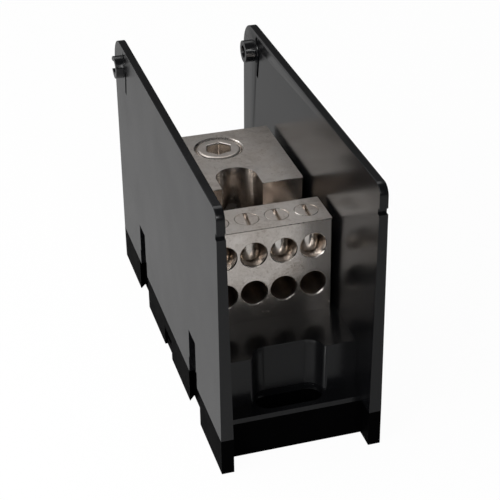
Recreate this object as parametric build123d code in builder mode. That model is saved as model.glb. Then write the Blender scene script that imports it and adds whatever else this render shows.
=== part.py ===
"""Single-pole power distribution block: an open two-piece moulded housing that
holds one machined connector block with its clamping screws.

Millimetres, +Z up. The origin is the centre of the underside. The small
outgoing wires enter from the front (-Y), the large incoming wire from the rear.
"""

import os
from math import radians, tan

from build123d import *

# Overall envelope of the mouldings
width = 52.0
length = 140.0
height = 92.2

# Side walls: thick at the foot, thinner at the top, for release from the mould
wall_foot = 4.0
wall_top = 2.65
wall_lean = 0.4
front_corner_radius = 3.6
rear_corner_radius = 10.0
wall_edge_round = 0.2

# Seam between the upper moulding (housing) and the lower moulding (base)
seam_z = 12.6

# Mounting flanges at both ends, and the end walls of the base below them
flange_setback = 7.1
flange_thickness = 1.75
base_floor = 2.0
base_end_wall = 2.0

# Raised platform that carries the connector block
platform_top_z = 31.3
platform_setback = 13.4
platform_skin = 2.2
platform_end_wall = 2.0

# Oblong holes for the screws that hold the product on a panel
panel_slot_length = 22.0
panel_slot_width = 8.9
panel_slot_inset = 13.8
panel_slot_wall = 1.8
recess_draft = 1.0
recess_edge_round = 1.4

# Snap joints between base and housing, in windows of the side walls
snap_spacing = 72.0
window_width = 8.4
window_sill_z = 14.0
window_top_z = 29.4
snap_arm_thickness = 1.7
snap_arm_top_z = 20.0
snap_barb_reach = 2.2
snap_clearance = 0.2
snap_side_clearance = 0.35

# Dovetails that lock neighbouring products side by side, and the recess above each groove
dovetail_spacing = 74.0
dovetail_mouth = 13.4
dovetail_depth = 2.1
dovetail_angle = 50.0
dovetail_clearance = 0.15
groove_recess_width = 10.0
groove_recess_depth = 1.8
groove_recess_top_z = 18.5

# Latch that stops the neighbours from sliding apart
latch_width = 10.0
latch_recess_depth = 0.8
latch_pocket_depth = 2.4
latch_pocket_low_z = 3.0
latch_top_z = 7.6
latch_clearance = 0.3

# Notches for the front of a snap-on cover
cover_notch_drop = 8.3
cover_notch_height = 2.0
cover_notch_depth = 1.2

# Hinge sockets for a cover, each on a springy tab cut free by a slit
hinge_inset = 11.2
hinge_drop = 8.6
hinge_outer_radius = 4.0
hinge_bore_radius = 2.3
hinge_reach_left = 2.5
hinge_reach_right = 3.4
hinge_snap_gap = 3.6
slit_width = 2.0
slit_radius = 8.0
slit_arc_start = 124
slit_foot_lean = 1.4
slit_foot_drop = 7.8

# Connector block: tin-plated aluminium
block_width = 42.0
block_front_y = -35.8
block_length = 71.4
block_top_z = 64.4
block_edge_break = 0.4
front_bar_depth = 15.2
tool_gap = 14.1
step_top_z = 51.0

# Outgoing wire bores: one row through the front bar, one row below it
wire_pitch = 9.83
wire_columns = 4
wire_bore_radius = 4.25
upper_row_z = 55.5
lower_row_z = 41.6
lower_bore_overrun = 5.2
bore_edge_break = 0.3

# Slotted set screws, the same for both rows
small_screw_radius = 3.95
small_screw_length = 13.2
small_screw_slot_width = 1.3
small_screw_slot_depth = 1.9
small_screw_tip_break = 0.5
small_screw_top_break = 0.25
small_screw_slot_turns = (-4, -5, -2, -3)
small_screw_tip_clearance = 0.2

# Incoming wire bore and its socket-head set screw
main_bore_radius = 8.75
main_bore_z = 48.2
main_bore_web = 3.7
sight_hole_radius = 2.6
main_screw_radius = 7.95
main_screw_length = 16.0
main_screw_share = 0.55
main_screw_seat_break = 0.6
main_screw_tip_break = 1.5
main_screw_top_break = 0.8
main_screw_turn = 15
hex_key_size = 8.0
hex_key_depth = 7.0
thread_clearance = 0.05

# Well for the screw that holds the connector block on the platform
well_radius = 6.95
well_floor_z = 38.0
locating_peg_radius = 2.0
locating_peg_height = 3.0
locating_peg_spacing = 56.0
peg_clearance = 0.3

# Mounting screw of the connector block, with washers and a captive nut
mount_screw_radius = 3.0
mount_screw_length = 20.0
mount_screw_hole_clearance = 0.3
screw_head_radius = 5.0
screw_head_height = 6.0
screw_key_size = 5.0
screw_key_depth = 3.2
flat_washer_radius = 6.0
flat_washer_thickness = 1.6
spring_washer_radius = 5.6
spring_washer_thickness = 1.5
nut_size = 10.0
nut_height = 5.0
nut_pocket_clearance = 0.2
nut_boss_radius = 7.5
nut_post_gap = 0.3

# Places that follow from the sizes above
half_width = width / 2
half_length = length / 2
inner_half_foot = half_width - wall_foot
inner_half_top = half_width - wall_lean - wall_top
wall_height = height - seam_z
platform_length = length - 2 * platform_setback
panel_slot_spacing = length - 2 * panel_slot_inset
cover_notch_z = height - cover_notch_drop
hinge_y = half_length - hinge_inset
hinge_z = height - hinge_drop
hinge_share = (hinge_z - seam_z) / wall_height
outer_face_at_hinge = half_width - wall_lean * hinge_share
inner_face_at_hinge = inner_half_foot + (inner_half_top - inner_half_foot) * hinge_share
block_rear_y = block_front_y + block_length
front_bar_rear_y = block_front_y + front_bar_depth
gap_rear_y = front_bar_rear_y + tool_gap
upper_screw_y = block_front_y + front_bar_depth / 2
lower_screw_y = front_bar_rear_y + tool_gap / 2
well_y = gap_rear_y + well_radius
well_rear_y = well_y + well_radius
main_screw_y = well_rear_y + main_screw_share * (block_rear_y - well_rear_y)
washer_z = well_floor_z + flat_washer_thickness
head_seat_z = washer_z + spring_washer_thickness
nut_boss_low_z = head_seat_z - mount_screw_length + 1.0
nut_low_z = nut_boss_low_z + nut_post_gap
nut_top_z = nut_low_z + nut_height
panel_slot_centres = [(0, -panel_slot_spacing / 2), (0, panel_slot_spacing / 2)]
peg_centres = [(0, well_y - locating_peg_spacing / 2), (0, well_y + locating_peg_spacing / 2)]
column_x = [(i - (wire_columns - 1) / 2) * wire_pitch for i in range(wire_columns)]
ends = (-1, 1)


def dovetail(edge_x, reach, mouth):
    """Outline of a dovetail that widens from edge_x over the given reach."""
    half_mouth = mouth / 2
    half_back = half_mouth + abs(reach) * tan(radians(dovetail_angle))
    with BuildSketch() as outline:
        with BuildLine():
            Polyline((edge_x, -half_mouth), (edge_x, half_mouth),
                     (edge_x + reach, half_back), (edge_x + reach, -half_back), close=True)
        make_face()
    return outline.sketch


def small_set_screw(x, y, top_z, turn):
    """Slotted set screw whose top lies at top_z; the slot is turned by some degrees."""
    with BuildPart() as screw:
        with BuildSketch(Plane.XY.offset(top_z - small_screw_length)):
            with Locations((x, y)):
                Circle(small_screw_radius)
        extrude(amount=small_screw_length)
        chamfer(faces().sort_by(Axis.Z)[0].edges(), small_screw_tip_break)
        chamfer(faces().sort_by(Axis.Z)[-1].edges(), small_screw_top_break)
        with BuildSketch(Plane.XY.offset(top_z)):
            with Locations(Location((x, y), turn)):
                Rectangle(small_screw_slot_width, 3 * small_screw_radius)
        extrude(amount=-small_screw_slot_depth, mode=Mode.SUBTRACT)
    return screw.part


# Housing: the upper moulding
with BuildPart() as housing:
    # Two tall side walls, tapered from foot to top
    with BuildSketch(Plane.XZ):
        for side in ends:
            with BuildLine():
                Polyline((side * half_width, seam_z), (side * (half_width - wall_lean), height),
                         (side * inner_half_top, height), (side * inner_half_foot, seam_z),
                         close=True)
            make_face()
    extrude(amount=half_length, both=True)

    # Their side view: rounded top corners and the notches for a cover
    with BuildSketch(Plane.YZ) as side_view:
        with Locations((0, seam_z + wall_height / 2)):
            Rectangle(length, wall_height)
        top_corners = side_view.vertices().group_by(Axis.Y)[-1].sort_by(Axis.X)
        fillet(top_corners[0], front_corner_radius)
        fillet(side_view.vertices().group_by(Axis.Y)[-1].sort_by(Axis.X)[-1], rear_corner_radius)
        with Locations((-half_length, cover_notch_z)):
            Rectangle(2 * cover_notch_depth, cover_notch_height, mode=Mode.SUBTRACT)
        with BuildLine():
            slit_arc = CenterArc((hinge_y, hinge_z), slit_radius, slit_arc_start,
                                 180 - slit_arc_start)
            Line(slit_arc @ 1, (slit_arc @ 1) + Vector(slit_foot_lean, -slit_foot_drop))
        trace(line_width=slit_width, mode=Mode.SUBTRACT)
    extrude(amount=half_width, both=True, mode=Mode.INTERSECT)

    # Soft edges along the top and down the front
    outer_edges = (edges().filter_by(Axis.Y).group_by(Axis.Z)[-1]
                   .filter_by(lambda edge: edge.length > length / 2))
    fillet(outer_edges, wall_edge_round)

    # Flange plates at both ends and the platform between them
    with BuildSketch(Plane.XY.offset(seam_z)):
        Rectangle(2 * inner_half_foot + wall_foot, length - 2 * flange_setback)
    extrude(amount=flange_thickness)
    with BuildSketch(Plane.XY.offset(seam_z)):
        Rectangle(2 * inner_half_foot + wall_foot / 2, platform_length)
    extrude(amount=platform_top_z - seam_z)
    with BuildSketch(Plane.XY.offset(seam_z)):
        Rectangle(2 * inner_half_foot, platform_length - 2 * platform_end_wall)
    extrude(amount=platform_top_z - platform_skin - seam_z, mode=Mode.SUBTRACT)

    # Lined recess over each panel slot, so that a screw head stays clear of the platform
    with BuildSketch(Plane.XY.offset(seam_z)) as lining:
        with Locations(*panel_slot_centres):
            SlotOverall(panel_slot_length + 4 * panel_slot_wall,
                        panel_slot_width + 2 * panel_slot_wall)
        Rectangle(width, platform_length, mode=Mode.INTERSECT)
    extrude(amount=platform_top_z - seam_z)
    with BuildSketch(Plane.XY.offset(seam_z + flange_thickness)):
        with Locations(*panel_slot_centres):
            SlotOverall(panel_slot_length + 0.4, panel_slot_width + 0.4)
    extrude(amount=height, taper=-recess_draft, mode=Mode.SUBTRACT)
    recess_edges = edges().filter_by(
        lambda edge: abs(abs(edge.center().Y) - platform_length / 2) < wall_edge_round
        and abs(abs(edge.center().X) - panel_slot_length / 2) < panel_slot_wall
        and edge.length > (platform_top_z - seam_z) / 2)
    fillet(recess_edges, recess_edge_round)
    with BuildSketch(Plane.XY.offset(seam_z)):
        with Locations(*panel_slot_centres):
            SlotOverall(panel_slot_length, panel_slot_width)
    extrude(amount=flange_thickness, mode=Mode.SUBTRACT)

    # Windows for the snap joints
    with BuildSketch(Plane.XY.offset(window_sill_z)):
        with GridLocations(width - wall_foot, snap_spacing, 2, 2):
            Rectangle(2 * wall_foot, window_width)
    extrude(amount=window_top_z - window_sill_z, mode=Mode.SUBTRACT)

    # Shallow recess at the foot of each left window, above the dovetail groove
    with BuildSketch(Plane.XY.offset(seam_z)):
        with Locations(*[(-half_width, end * snap_spacing / 2) for end in ends]):
            Rectangle(2 * groove_recess_depth, groove_recess_width)
    extrude(amount=groove_recess_top_z - seam_z, mode=Mode.SUBTRACT)

    # Boss under the platform with the nut pocket, and the screw hole through both
    with BuildSketch(Plane.XY.offset(nut_boss_low_z)):
        with Locations((0, well_y)):
            Circle(nut_boss_radius)
    extrude(amount=platform_top_z - nut_boss_low_z)
    with BuildSketch(Plane.XY.offset(nut_boss_low_z)):
        with Locations((0, well_y)):
            RegularPolygon((nut_size + nut_pocket_clearance) / 2, 6, major_radius=False)
    extrude(amount=nut_top_z - nut_boss_low_z, mode=Mode.SUBTRACT)
    with BuildSketch(Plane.XY.offset(nut_boss_low_z)):
        with Locations((0, well_y)):
            Circle(mount_screw_radius + mount_screw_hole_clearance)
    extrude(amount=height, mode=Mode.SUBTRACT)

    # Pegs that keep the connector block from turning
    with BuildSketch(Plane.XY.offset(platform_top_z - platform_skin / 2)):
        with Locations(*peg_centres):
            Circle(locating_peg_radius)
    extrude(amount=platform_skin / 2 + locating_peg_height)

    # Hinge socket outside the left wall and inside the right wall
    for start_x, reach in ((-outer_face_at_hinge, hinge_reach_left),
                           (inner_face_at_hinge, hinge_reach_right)):
        with BuildSketch(Plane.YZ.offset(start_x + wall_top / 2)):
            with Locations((hinge_y, hinge_z)):
                Circle(hinge_outer_radius)
        extrude(amount=-(reach + wall_top / 2))
        with BuildSketch(Plane.YZ.offset(start_x - reach)):
            with Locations((hinge_y, hinge_z)):
                Circle(hinge_bore_radius)
        extrude(amount=reach + 2 * wall_foot, mode=Mode.SUBTRACT)
    with BuildSketch(Plane.YZ.offset(-outer_face_at_hinge)):
        with Locations((hinge_y + hinge_outer_radius, hinge_z)):
            Rectangle(2 * hinge_outer_radius, hinge_snap_gap)
    extrude(amount=-2 * hinge_reach_left, mode=Mode.SUBTRACT)
housing.part.label = "housing"

# Base: the lower moulding
with BuildPart() as base:
    # Skirts along both sides, end walls set back, floor, hollow above the floor
    with BuildSketch():
        Rectangle(width, length)
        with Locations(*[(0, end * (half_length - flange_setback / 2)) for end in ends]):
            Rectangle(2 * inner_half_foot, flange_setback, mode=Mode.SUBTRACT)
    extrude(amount=seam_z)
    with BuildSketch(Plane.XY.offset(base_floor)):
        Rectangle(2 * inner_half_foot, length - 2 * (flange_setback + base_end_wall))
    extrude(amount=seam_z, mode=Mode.SUBTRACT)

    # Columns around the panel slots carry the load of the panel screws
    with BuildSketch():
        with Locations(*panel_slot_centres):
            SlotOverall(panel_slot_length + 2 * panel_slot_wall,
                        panel_slot_width + 2 * panel_slot_wall)
    extrude(amount=seam_z)
    with BuildSketch():
        with Locations(*panel_slot_centres):
            SlotOverall(panel_slot_length, panel_slot_width)
    extrude(amount=seam_z, mode=Mode.SUBTRACT)

    # Post that keeps the nut in its pocket
    with BuildSketch():
        with Locations((0, well_y)):
            Circle(nut_boss_radius)
    extrude(amount=nut_boss_low_z)
    with BuildSketch(Plane.XY.offset(base_floor)):
        with Locations((0, well_y)):
            Circle(mount_screw_radius + 2 * mount_screw_hole_clearance)
    extrude(amount=nut_boss_low_z, mode=Mode.SUBTRACT)

    # Snap arms that hook over the window sills
    arm_x = inner_half_foot - snap_clearance
    barb_low_z = window_sill_z + snap_clearance
    for end in ends:
        arm_plane = Plane.XZ.offset(-end * snap_spacing / 2)
        with BuildSketch(arm_plane):
            for side in ends:
                with BuildLine():
                    Polyline((side * (arm_x - snap_arm_thickness), base_floor),
                             (side * (arm_x - snap_arm_thickness), snap_arm_top_z),
                             (side * arm_x, snap_arm_top_z),
                             (side * (arm_x + snap_barb_reach), barb_low_z + 1),
                             (side * (arm_x + snap_barb_reach), barb_low_z),
                             (side * arm_x, barb_low_z),
                             (side * arm_x, seam_z),
                             (side * (inner_half_foot + 1), seam_z),
                             (side * (inner_half_foot + 1), base_floor), close=True)
                make_face()
        extrude(amount=window_width / 2 - snap_side_clearance, both=True)

    # Dovetail grooves in the left skirt, matching keys on the right one
    with BuildSketch():
        for end in ends:
            with Locations((0, end * dovetail_spacing / 2)):
                add(dovetail(-half_width, dovetail_depth, dovetail_mouth))
    extrude(amount=seam_z, mode=Mode.SUBTRACT)
    with BuildSketch():
        for end in ends:
            with Locations((0, end * dovetail_spacing / 2)):
                add(dovetail(half_width, dovetail_depth - dovetail_clearance,
                             dovetail_mouth - 2 * dovetail_clearance))
    extrude(amount=seam_z - 2 * dovetail_clearance)

    # Latch between the dovetails: a stepped recess on the left, a nub on the right
    for depth, low_z in ((latch_recess_depth, 0), (latch_pocket_depth, latch_pocket_low_z)):
        with BuildSketch(Plane.XY.offset(low_z)):
            with Locations((-half_width, 0)):
                Rectangle(2 * depth, latch_width)
        extrude(amount=latch_top_z - low_z, mode=Mode.SUBTRACT)
    nub_height = latch_top_z - latch_pocket_low_z - 2 * latch_clearance
    with BuildSketch(Plane.XY.offset(latch_pocket_low_z + latch_clearance)):
        with Locations((half_width, 0)):
            Rectangle(2 * (latch_pocket_depth - latch_clearance), latch_width - 2 * latch_clearance)
    extrude(amount=nub_height)
    nub_edge = edges().filter_by(Axis.Y).group_by(Axis.X)[-1].sort_by(Axis.Z)[0]
    chamfer(nub_edge, nub_height / 2)
base.part.label = "base"

# Connector block
with BuildPart() as connector_block:
    # The bar, seen from the side: front bar, step for the lower screws, rear body
    with BuildSketch(Plane.YZ):
        with BuildLine():
            Polyline((block_front_y, platform_top_z), (block_front_y, block_top_z),
                     (front_bar_rear_y, block_top_z), (front_bar_rear_y, step_top_z),
                     (gap_rear_y, step_top_z), (gap_rear_y, block_top_z),
                     (block_rear_y, block_top_z), (block_rear_y, platform_top_z), close=True)
        make_face()
    extrude(amount=block_width / 2, both=True)
    chamfer(edges().filter_by(Axis.Z), block_edge_break)
    top_edges = faces().filter_by(Axis.Z).group_by(Axis.Z)[-1].edges().filter_by(Axis.X)
    chamfer(top_edges, block_edge_break / 2)

    # Well of the mounting screw, open to the tool gap above the step
    with BuildSketch(Plane.XY.offset(well_floor_z)):
        with Locations((0, well_y)):
            Circle(well_radius)
    extrude(amount=block_top_z, mode=Mode.SUBTRACT)
    with BuildSketch(Plane.XY.offset(step_top_z)):
        with Locations((0, (gap_rear_y + well_y) / 2)):
            Rectangle(2 * well_radius, well_y - gap_rear_y + 2 * block_edge_break)
    extrude(amount=block_top_z, mode=Mode.SUBTRACT)
    with BuildSketch(Plane.XY.offset(platform_top_z)):
        with Locations((0, well_y)):
            Circle(mount_screw_radius + mount_screw_hole_clearance)
    extrude(amount=well_floor_z - platform_top_z, mode=Mode.SUBTRACT)
    with BuildSketch(Plane.XY.offset(platform_top_z)):
        with Locations(*peg_centres):
            Circle(locating_peg_radius + peg_clearance)
    extrude(amount=locating_peg_height + peg_clearance, mode=Mode.SUBTRACT)

    # Outgoing wire bores with broken edges
    front_plane = Plane.XZ.offset(-block_front_y)
    for row_z, depth in ((upper_row_z, front_bar_depth),
                         (lower_row_z, lower_screw_y - block_front_y + lower_bore_overrun)):
        with BuildSketch(front_plane):
            with Locations(*[(x, row_z) for x in column_x]):
                Circle(wire_bore_radius)
        extrude(amount=-depth, mode=Mode.SUBTRACT)
    mouths = (edges().filter_by(GeomType.CIRCLE).group_by(Axis.Y)[0]
              .filter_by(lambda edge: abs(edge.radius - wire_bore_radius) < 0.01))
    chamfer(mouths, bore_edge_break)

    # Threaded holes for the small set screws, down into the wire bores
    thread_depth = small_screw_length + small_screw_tip_clearance
    for screw_y, top_z in ((upper_screw_y, block_top_z), (lower_screw_y, step_top_z)):
        with BuildSketch(Plane.XY.offset(top_z)):
            with Locations(*[(x, screw_y) for x in column_x]):
                Circle(small_screw_radius + thread_clearance)
        extrude(amount=-thread_depth, mode=Mode.SUBTRACT)

    # Incoming wire bore, its sight hole, and the threaded hole of the main screw
    with BuildSketch(Plane.XZ.offset(-block_rear_y)):
        with Locations((0, main_bore_z)):
            Circle(main_bore_radius)
    extrude(amount=block_rear_y - (well_rear_y + main_bore_web), mode=Mode.SUBTRACT)
    with BuildSketch(Plane.XZ.offset(-well_y)):
        with Locations((0, main_bore_z)):
            Circle(sight_hole_radius)
    extrude(amount=-(block_rear_y - well_y), mode=Mode.SUBTRACT)
    rear_mouth = (edges().filter_by(GeomType.CIRCLE).group_by(Axis.Y)[-1]
                  .filter_by(lambda edge: edge.radius > sight_hole_radius))
    chamfer(rear_mouth, bore_edge_break)
    with BuildSketch(Plane.XY.offset(main_bore_z)):
        with Locations((0, main_screw_y)):
            Circle(main_screw_radius + thread_clearance)
    extrude(amount=block_top_z - main_bore_z, mode=Mode.SUBTRACT)
    seat = (edges().filter_by(GeomType.CIRCLE).group_by(Axis.Z)[-1]
            .filter_by(lambda edge: abs(edge.radius - main_screw_radius - thread_clearance) < 0.01))
    chamfer(seat, main_screw_seat_break)
connector_block.part.label = "connector_block"

# Clamping screws
with BuildPart() as primary_set_screw:
    with BuildSketch(Plane.XY.offset(block_top_z - main_screw_length)):
        with Locations((0, main_screw_y)):
            Circle(main_screw_radius)
    extrude(amount=main_screw_length)
    chamfer(faces().sort_by(Axis.Z)[0].edges(), main_screw_tip_break)
    chamfer(faces().sort_by(Axis.Z)[-1].edges(), main_screw_top_break)
    with BuildSketch(Plane.XY.offset(block_top_z)):
        with Locations((0, main_screw_y)):
            RegularPolygon(hex_key_size / 2, 6, major_radius=False, rotation=main_screw_turn)
    extrude(amount=-hex_key_depth, mode=Mode.SUBTRACT)
primary_set_screw.part.label = "primary_set_screw"

small_screws = []
for row, (screw_y, top_z) in {"upper": (upper_screw_y, block_top_z),
                              "lower": (lower_screw_y, step_top_z)}.items():
    for number, (x, turn) in enumerate(zip(column_x, small_screw_slot_turns), start=1):
        small_screw = small_set_screw(x, screw_y, top_z, turn)
        small_screw.label = f"{row}_set_screw_{number}"
        small_screws.append(small_screw)

# Fastening of the connector block
with BuildPart() as block_mounting_screw:
    with BuildSketch(Plane.XY.offset(head_seat_z)):
        with Locations((0, well_y)):
            Circle(screw_head_radius)
    extrude(amount=screw_head_height)
    chamfer(faces().sort_by(Axis.Z)[-1].edges(), 0.5)
    with BuildSketch(Plane.XY.offset(head_seat_z)):
        with Locations((0, well_y)):
            Circle(mount_screw_radius)
    extrude(amount=-mount_screw_length)
    chamfer(faces().sort_by(Axis.Z)[0].edges(), 0.6)
    with BuildSketch(Plane.XY.offset(head_seat_z + screw_head_height)):
        with Locations((0, well_y)):
            RegularPolygon(screw_key_size / 2, 6, major_radius=False)
    extrude(amount=-screw_key_depth, mode=Mode.SUBTRACT)
block_mounting_screw.part.label = "block_mounting_screw"

with BuildPart() as block_spring_washer:
    with BuildSketch(Plane.XY.offset(washer_z)):
        with Locations((0, well_y)):
            Circle(spring_washer_radius)
            Circle(mount_screw_radius + mount_screw_hole_clearance, mode=Mode.SUBTRACT)
        with Locations(Location((spring_washer_radius, well_y), 20)):
            Rectangle(spring_washer_radius, 0.6, mode=Mode.SUBTRACT)
    extrude(amount=spring_washer_thickness)
block_spring_washer.part.label = "block_spring_washer"

with BuildPart() as block_flat_washer:
    with BuildSketch(Plane.XY.offset(well_floor_z)):
        with Locations((0, well_y)):
            Circle(flat_washer_radius)
            Circle(mount_screw_radius + mount_screw_hole_clearance, mode=Mode.SUBTRACT)
    extrude(amount=flat_washer_thickness)
block_flat_washer.part.label = "block_flat_washer"

with BuildPart() as block_nut:
    with BuildSketch(Plane.XY.offset(nut_low_z)):
        with Locations((0, well_y)):
            RegularPolygon(nut_size / 2, 6, major_radius=False)
            Circle(mount_screw_radius + thread_clearance, mode=Mode.SUBTRACT)
    extrude(amount=nut_height)
block_nut.part.label = "block_nut"

# Export
pieces = [housing.part, base.part, connector_block.part, primary_set_screw.part, *small_screws,
          block_mounting_screw.part, block_spring_washer.part, block_flat_washer.part,
          block_nut.part]
os.makedirs("parts", exist_ok=True)
for piece in pieces:
    export_step(piece, f"parts/{piece.label}.step")
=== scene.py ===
"""Looks of the power distribution block: plastics, plated metal, studio and camera."""
import math

import bpy
from mathutils import Matrix, Vector

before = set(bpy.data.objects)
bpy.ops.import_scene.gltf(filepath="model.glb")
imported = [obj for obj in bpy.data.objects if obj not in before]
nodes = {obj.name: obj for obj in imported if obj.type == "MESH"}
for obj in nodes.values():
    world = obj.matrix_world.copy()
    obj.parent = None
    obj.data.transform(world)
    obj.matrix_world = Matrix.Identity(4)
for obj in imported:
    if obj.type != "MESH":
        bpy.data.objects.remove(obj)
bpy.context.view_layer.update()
scene = bpy.context.scene
MM = 0.001
WHITE = (1, 1, 1, 1)

# Places on the solids that a material treats apart, each axis from low to high in mm.
# On an axis that is mirrored about the middle, -1 means that there is no lower end.
PANEL_RECESS = {"X": (-1, 12.4), "Y": (44, 56.9), "Z": (14.8, 31.3)}
MAIN_BORE = {"X": (-1, 9.2), "Y": (7.3, 34), "Z": (39, 57.2)}
PLACE_EDGE_MM = 0.4
MAIN_BORE_END_MM = 5
# Painted shade: the main bore of the block is painted this dark colour
MAIN_BORE_PAINTED_SHADE = (0.06, 0.045, 0.035, 1)
RECESS_TILT = 0.235
PLACE_DULLER = 0.1

# Housing and base: two shades each, darker first, and the index of refraction
HOUSING_SHADES = ((0.0045, 0.0047, 0.0054, 1), (0.0065, 0.0068, 0.0078, 1))
HOUSING_IOR = 1.47
BASE_SHADES = ((0.0007, 0.0007, 0.0008, 1), (0.0013, 0.0013, 0.0015, 1))
BASE_IOR = 1.07

# Metal finishes: lighter shade first; reach_mm is how far the painted shade in a hollow
# looks for a wall
# The oxide colour of each finish is painted shade in hollows and oxide in specks and
# blotches
BLOCK_FINISH = {
    "shades": ((0.95, 0.89, 0.84, 1), (0.70, 0.63, 0.57, 1)), "roughness": (0.18, 0.26),
    "top_duller": 0.11, "grain_mm": 0.004, "oxide_and_shade": (0.25, 0.19, 0.14, 1), "reach_mm": 14}
# Screws: the top shades are darker copies, painted shade on up-facing faces
SCREW_FINISH = {
    "shades": ((0.96, 0.92, 0.88, 1), (0.80, 0.74, 0.68, 1)), "roughness": (0.16, 0.24),
    "top_duller": 0.16, "grain_mm": 0.002, "reach_mm": 5,
    "top_painted_shades": ((0.84, 0.78, 0.73, 1), (0.60, 0.53, 0.48, 1))}
ZINC_FINISH = {
    "shades": ((0.30, 0.29, 0.28, 1), (0.18, 0.17, 0.16, 1)), "roughness": (0.22, 0.32),
    "top_duller": 0.1, "grain_mm": 0.003, "oxide_and_shade": (0.05, 0.04, 0.04, 1), "reach_mm": 5}
# Screw oxide colours: painted shade in the hollows, oxide in specks and blotches
SMALL_SCREW_OXIDE_AND_SHADE = (0.34, 0.27, 0.21, 1)
LARGE_SCREW_OXIDE_AND_SHADE = (0.52, 0.44, 0.37, 1)
HOLLOW_SAMPLES = 8

# Rounds that break the sharp edges
MOULDED_EDGE_MM = 0.18
BLOCK_EDGE_MM = 0.12
SMALL_SCREW_EDGE_MM = 0.1
LARGE_SCREW_EDGE_MM = 0.5
SHARP_DEGREES = 30
FLAT_DEGREES = 0.4
WELD_MM = 0.002

# Floor and surroundings, and what the camera and mirror-like reflections see of the white
FLOOR_SIZE = 6.0
FLOOR_HEIGHT = -0.0002
FLOOR_GREY = (0.6, 0.6, 0.6, 1)
FLOOR_GLOW = 1.04
FLOOR_SHARE_CAMERA = 0.93
FLOOR_SHARE_GLOSSY = 0.06
ROOM_GLOW = 0.03
ROOM_SHARE_GLOSSY = 0.035

# Soft lamps, aimed at the object: name, place, width and height in metres, watts
LAMP_TARGET = (0, 0, 0.045)
LAMPS = (
    ("key", (-0.36, -0.30, 0.30), (0.24, 0.24), 1.0),
    ("left", (-0.46, -0.04, 0.30), (0.24, 0.24), 0.8),
    ("front", (-0.08, -0.85, 0.48), (0.3, 0.2), 1.5),
    ("low_back", (-0.55, 0.90, 0.58), (0.9, 0.5), 0.5),
    ("back_left", (-0.45, 0.55, 0.80), (0.5, 0.5), 2.0),
    ("back", (0.10, 0.60, 0.95), (0.6, 0.6), 1.5),
)

# The camera solved from the photograph, which is 500 pixels wide and high
PHOTO_PX = 500
FOCAL_PX = 1398.65
MIDDLE_PX = (271.33, 247.15)
SENSOR_MM = 36.0
CAMERA_PLACE = (-0.10955, -0.39719, 0.27800)
CAMERA_AHEAD = (0.25221, 0.82596, -0.50417)
CAMERA_RIGHT = (0.95549, -0.29498, -0.00527)
CAMERA_CLIP = (0.01, 20)


class Nodes:
    """A node tree: small helpers that add nodes and link them."""

    def __init__(self, tree, output):
        self.tree = tree
        self.tree.nodes.clear()
        self.out = self.add(output)

    def add(self, kind, inputs=(), **settings):
        node = self.tree.nodes.new(kind)
        for key, value in settings.items():
            setattr(node, key, value)
        for key, value in dict(inputs).items():
            self.put(node.inputs[key], value)
        return node

    def put(self, socket, value):
        if isinstance(value, bpy.types.NodeSocket):
            self.tree.links.new(value, socket)
        else:
            socket.default_value = value

    def math(self, operation, a, b=0.0):
        return self.add("ShaderNodeMath", {0: a, 1: b}, operation=operation).outputs[0]

    def blend(self, share, first, second):
        """Mixes two shaders and sends them to the output."""
        mixed = self.add("ShaderNodeMixShader", {0: share, 1: first, 2: second})
        self.put(self.out.inputs["Surface"], mixed.outputs[0])


class Shader(Nodes):
    """A material that is painted by the piece's own coordinates."""

    def __init__(self, name):
        self.material = bpy.data.materials.new(name)
        self.material.use_nodes = True
        super().__init__(self.material.node_tree, "ShaderNodeOutputMaterial")
        self.place = self.add("ShaderNodeTexCoord").outputs["Object"]

    def noise(self, size_mm, detail=3.0, roughness=0.55, stretch=(1, 1, 1), distortion=0.0):
        """Noise whose blobs are about size_mm across, longer along a stretched axis."""
        space = self.add("ShaderNodeMapping", {"Vector": self.place,
                                              "Scale": [1 / s for s in stretch]})
        return self.add("ShaderNodeTexNoise", {
            "Vector": space.outputs[0], "Scale": 0.6 / (size_mm * MM), "Detail": detail,
            "Roughness": roughness, "Distortion": distortion}).outputs["Fac"]

    def spread(self, value, low, high, from_low=0.3, from_high=0.7):
        """Maps a range onto another; the default is the range that a noise mostly fills."""
        return self.add("ShaderNodeMapRange", {
            "Value": value, "From Min": from_low, "From Max": from_high,
            "To Min": low, "To Max": high}).outputs["Result"]

    def vector(self, operation, a, b=(0, 0, 0)):
        return self.add("ShaderNodeVectorMath", {0: a, 1: b}, operation=operation).outputs[0]

    def within(self, value, low, high, soft_mm):
        """1 where a coordinate lies between two values in mm, 0 outside, with soft ends."""
        rise = self.spread(value, 0, 1, low * MM, (low + soft_mm) * MM)
        fall = self.spread(value, 1, 0, (high - soft_mm) * MM, high * MM)
        return self.math("MULTIPLY", rise, fall)

    def inside(self, box, mirrored, y_end_mm=PLACE_EDGE_MM):
        """1 inside a box, which also holds on the other side along mirrored axes."""
        spot = self.add("ShaderNodeSeparateXYZ", {0: self.place}).outputs
        shares = []
        for axis, (low, high) in box.items():
            value = self.math("ABSOLUTE", spot[axis]) if axis in mirrored else spot[axis]
            soft_mm = y_end_mm if axis == "Y" else PLACE_EDGE_MM
            shares.append(self.within(value, low, high, soft_mm))
        return self.math("MULTIPLY", self.math("MULTIPLY", shares[0], shares[1]), shares[2])

    def tint(self, factor, a, b):
        node = self.add("ShaderNodeMix", data_type="RGBA")
        self.put(node.inputs[0], factor)
        self.put(node.inputs[6], a)
        self.put(node.inputs[7], b)
        return node.outputs[2]

    def bump(self, height, depth_mm, strength, normal=None):
        inputs = {"Height": height, "Distance": depth_mm * MM, "Strength": strength}
        if normal is not None:
            inputs["Normal"] = normal
        return self.add("ShaderNodeBump", inputs).outputs["Normal"]

    def surface(self, **values):
        bsdf = self.add("ShaderNodeBsdfPrincipled")
        for key, value in values.items():
            self.put(bsdf.inputs[key.replace("_", " ")], value)
        self.put(self.out.inputs["Surface"], bsdf.outputs[0])
        return self.material


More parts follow.
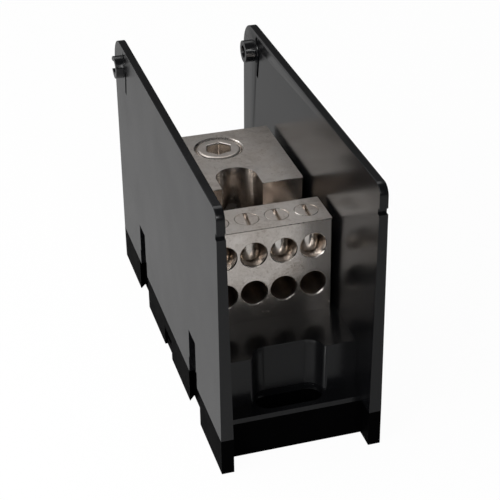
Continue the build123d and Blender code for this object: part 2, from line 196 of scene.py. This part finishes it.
def housing_plastic():
    """Semi-gloss moulded thermoplastic: faint flow waves, fine grain, uneven shine.

    In the recess round a panel slot the normal leans up and the surface is duller.
    """
    s = Shader("housing_plastic")
    flow = s.noise(34, 1.0, 0.35, stretch=(1, 1.6, 1))
    grain = s.noise(0.35, 2.0, 0.6)
    haze = s.noise(11, 3.0, 0.5)
    colour = s.tint(s.spread(haze, 0, 1), *HOUSING_SHADES)
    rough = s.math("ADD", s.spread(haze, 0.20, 0.24), s.spread(grain, -0.01, 0.015))
    recess = s.inside(PANEL_RECESS, mirrored="XY")
    rough = s.math("ADD", rough, s.math("MULTIPLY", recess, PLACE_DULLER))
    lean = s.math("MULTIPLY", recess, RECESS_TILT)
    lean = s.add("ShaderNodeCombineXYZ", {"Z": lean}).outputs[0]
    normal = s.vector("ADD", s.add("ShaderNodeNewGeometry").outputs["Normal"], lean)
    normal = s.bump(flow, 0.02, 0.4, s.vector("NORMALIZE", normal))
    normal = s.bump(grain, 0.0012, 0.4, normal)
    return s.surface(Base_Color=colour, Roughness=rough, Normal=normal, IOR=HOUSING_IOR)


def base_plastic():
    """Dull black moulded thermoplastic with a fine spark-eroded texture."""
    s = Shader("base_plastic")
    grain = s.noise(0.3, 3.0, 0.65)
    haze = s.noise(7, 4.0, 0.6)
    colour = s.tint(s.spread(haze, 0, 1), *BASE_SHADES)
    rough = s.math("ADD", s.spread(haze, 0.5, 0.6), s.spread(grain, -0.04, 0.04))
    normal = s.bump(grain, 0.008, 0.6)
    return s.surface(Base_Color=colour, Roughness=rough, Normal=normal, IOR=BASE_IOR)


def plated_metal(name, shades, roughness, top_duller, grain_mm, oxide_and_shade, reach_mm,
                 top_painted_shades=None, paint_main_bore_shade=False):
    """Plated metal: fine grain, brownish clouding, faint streaks; duller on the tops.

    The oxide colour is painted shade in hollows and corners, and oxide in specks all over
    and in blotches on the tops. Top shades paint the up-facing faces darker as shade, and
    the block's main bore is painted dark as shade.
    """
    s = Shader(name)
    cloud = s.noise(6.5, 5.0, 0.62, stretch=(1, 1, 1.3), distortion=0.4)
    stain = s.noise(2.2, 3.0, 0.6)
    grain = s.noise(0.30, 3.0, 0.7)
    streak = s.noise(0.28, 2.0, 0.5, stretch=(1, 1, 14))
    normal_z = s.add("ShaderNodeSeparateXYZ", {
        0: s.add("ShaderNodeNewGeometry").outputs["True Normal"]}).outputs["Z"]
    top = s.spread(normal_z, 0, 1, 0.5, 0.9)

    clouding = s.math("ADD", s.spread(cloud, 0, 0.75, 0.35, 0.68),
                      s.spread(stain, -0.12, 0.25))
    clouding = s.math("ADD", clouding, s.spread(grain, -0.18, 0.22))
    colour = s.tint(clouding, *shades)
    # Painted shade: up-facing faces take the darker top shades
    if top_painted_shades:
        colour = s.tint(top, colour, s.tint(clouding, *top_painted_shades))
    rough = s.math("ADD", s.spread(cloud, *roughness), s.spread(grain, -0.03, 0.04))
    rough = s.math("ADD", rough, s.math("MULTIPLY", top, top_duller))

    # Painted shade: hollows and corners, found by ambient occlusion, are tinted with the
    # oxide colour
    openness = s.add("ShaderNodeAmbientOcclusion", {"Distance": reach_mm * MM},
                     samples=HOLLOW_SAMPLES, only_local=True).outputs["AO"]
    hollow_shade = s.spread(openness, 1, 0, 0.10, 0.62)
    speck = s.math("ADD", s.noise(0.6, 3.0, 0.6), s.spread(cloud, -0.08, 0.08))
    speck = s.spread(speck, 0, 0.28, 0.56, 0.70)
    blotch = s.spread(s.noise(5, 5.0, 0.68, distortion=0.5), 0, 0.42, 0.53, 0.70)
    worn = s.math("MAXIMUM", speck, s.math("MULTIPLY", blotch, top))
    # The oxide colour goes on as painted shade in hollows and as oxide in specks and
    # blotches
    colour = s.tint(s.math("MAXIMUM", hollow_shade, worn), colour, oxide_and_shade)
    rough = s.math("ADD", rough, s.math("MULTIPLY", hollow_shade, 0.12))
    # Painted shade: the main bore of the block is painted dark
    if paint_main_bore_shade:
        bore = s.inside(MAIN_BORE, mirrored="X", y_end_mm=MAIN_BORE_END_MM)
        colour = s.tint(bore, colour, MAIN_BORE_PAINTED_SHADE)
        rough = s.math("ADD", rough, s.math("MULTIPLY", bore, PLACE_DULLER))

    # The grain fades in hollows, where it would only sparkle
    grain_strength = s.spread(hollow_shade, 0.7, 0.1, 0, 0.8)
    normal = s.bump(grain, grain_mm, grain_strength)
    normal = s.bump(streak, grain_mm * 0.6, 0.4, normal)
    return s.surface(Base_Color=colour, Metallic=1.0, Roughness=rough, Normal=normal)


def dress(names, material):
    for name in names:
        piece = nodes[name]
        piece.data.materials.clear()
        piece.data.materials.append(material)


def soften(name, width_mm, segments=2):
    """Breaks the sharp edges of a CAD node by a narrow round."""
    piece = nodes[name]
    weld = piece.modifiers.new("weld", "WELD")
    weld.merge_threshold = WELD_MM * MM
    planar = piece.modifiers.new("planar", "DECIMATE")
    planar.decimate_type = "DISSOLVE"
    planar.angle_limit = math.radians(FLAT_DEGREES)
    bevel = piece.modifiers.new("bevel", "BEVEL")
    bevel.width = width_mm * MM
    bevel.segments = segments
    bevel.limit_method = "ANGLE"
    bevel.angle_limit = math.radians(SHARP_DEGREES)
    bevel.harden_normals = True
    return bevel


def backdrop():
    """Pale floor that turns white for the camera but keeps a soft shadow."""
    bpy.ops.mesh.primitive_plane_add(size=FLOOR_SIZE, location=(0, 0, FLOOR_HEIGHT))
    floor = bpy.context.object
    floor.name = "floor"
    s = Shader("pale_floor")
    grey = s.add("ShaderNodeBsdfDiffuse", {"Color": FLOOR_GREY}).outputs[0]
    white = s.add("ShaderNodeEmission", {"Color": WHITE, "Strength": FLOOR_GLOW}).outputs[0]
    path = s.add("ShaderNodeLightPath").outputs
    share = s.math("ADD", s.math("MULTIPLY", path["Is Camera Ray"], FLOOR_SHARE_CAMERA),
                   s.math("MULTIPLY", path["Is Glossy Ray"], FLOOR_SHARE_GLOSSY))
    s.blend(share, grey, white)
    floor.data.materials.append(s.material)


def area_light(name, place, size, watts):
    data = bpy.data.lights.new(name, "AREA")
    data.shape = "RECTANGLE"
    data.size, data.size_y = size
    data.energy = watts
    lamp = bpy.data.objects.new(name, data)
    scene.collection.objects.link(lamp)
    lamp.location = place
    ahead = Vector(LAMP_TARGET) - Vector(place)
    lamp.rotation_euler = ahead.to_track_quat("-Z", "Y").to_euler()


def studio():
    """Surroundings that are white for the camera and dim for the object, and the lamps."""
    world = bpy.data.worlds.new("studio")
    scene.world = world
    world.use_nodes = True
    w = Nodes(world.node_tree, "ShaderNodeOutputWorld")
    room = w.add("ShaderNodeBackground", {"Color": WHITE, "Strength": ROOM_GLOW}).outputs[0]
    white = w.add("ShaderNodeBackground", {"Color": WHITE}).outputs[0]
    path = w.add("ShaderNodeLightPath").outputs
    share = w.add("ShaderNodeMath", {0: path["Is Glossy Ray"], 1: ROOM_SHARE_GLOSSY,
                                     2: path["Is Camera Ray"]}, operation="MULTIPLY_ADD")
    w.blend(share.outputs[0], room, white)
    for lamp in LAMPS:
        area_light(*lamp)


def camera():
    """The viewing angle and framing of the photograph."""
    data = bpy.data.cameras.new("camera")
    cam = bpy.data.objects.new("camera", data)
    scene.collection.objects.link(cam)
    data.sensor_width = SENSOR_MM
    data.lens = FOCAL_PX * SENSOR_MM / PHOTO_PX
    data.shift_x = -(MIDDLE_PX[0] - PHOTO_PX / 2) / PHOTO_PX
    data.shift_y = (MIDDLE_PX[1] - PHOTO_PX / 2) / PHOTO_PX
    data.clip_start, data.clip_end = CAMERA_CLIP
    ahead = Vector(CAMERA_AHEAD).normalized()
    right = Vector(CAMERA_RIGHT).normalized()
    up = right.cross(ahead)
    cam.matrix_world = Matrix([[right[i], up[i], -ahead[i], CAMERA_PLACE[i]]
                               for i in range(3)] + [[0, 0, 0, 1]])
    scene.camera = cam


small_screws = [n for n in nodes if n.endswith(tuple("1234")) and "set_screw" in n]
dress(["housing"], housing_plastic())
dress(["base"], base_plastic())
dress(["connector_block"], plated_metal("plated_block", paint_main_bore_shade=True, **BLOCK_FINISH))
dress(small_screws, plated_metal("plated_screw", oxide_and_shade=SMALL_SCREW_OXIDE_AND_SHADE, **SCREW_FINISH))
dress(["primary_set_screw"],
      plated_metal("plated_large_screw", oxide_and_shade=LARGE_SCREW_OXIDE_AND_SHADE, **SCREW_FINISH))
dress(["block_mounting_screw", "block_spring_washer", "block_flat_washer", "block_nut"],
      plated_metal("zinc_steel", **ZINC_FINISH))

soften("housing", MOULDED_EDGE_MM)
soften("base", MOULDED_EDGE_MM)
soften("connector_block", BLOCK_EDGE_MM)
for screw in small_screws:
    soften(screw, SMALL_SCREW_EDGE_MM)
soften("primary_set_screw", LARGE_SCREW_EDGE_MM, segments=3).use_clamp_overlap = False

backdrop()
studio()
camera()
scene.view_settings.view_transform = "Standard"
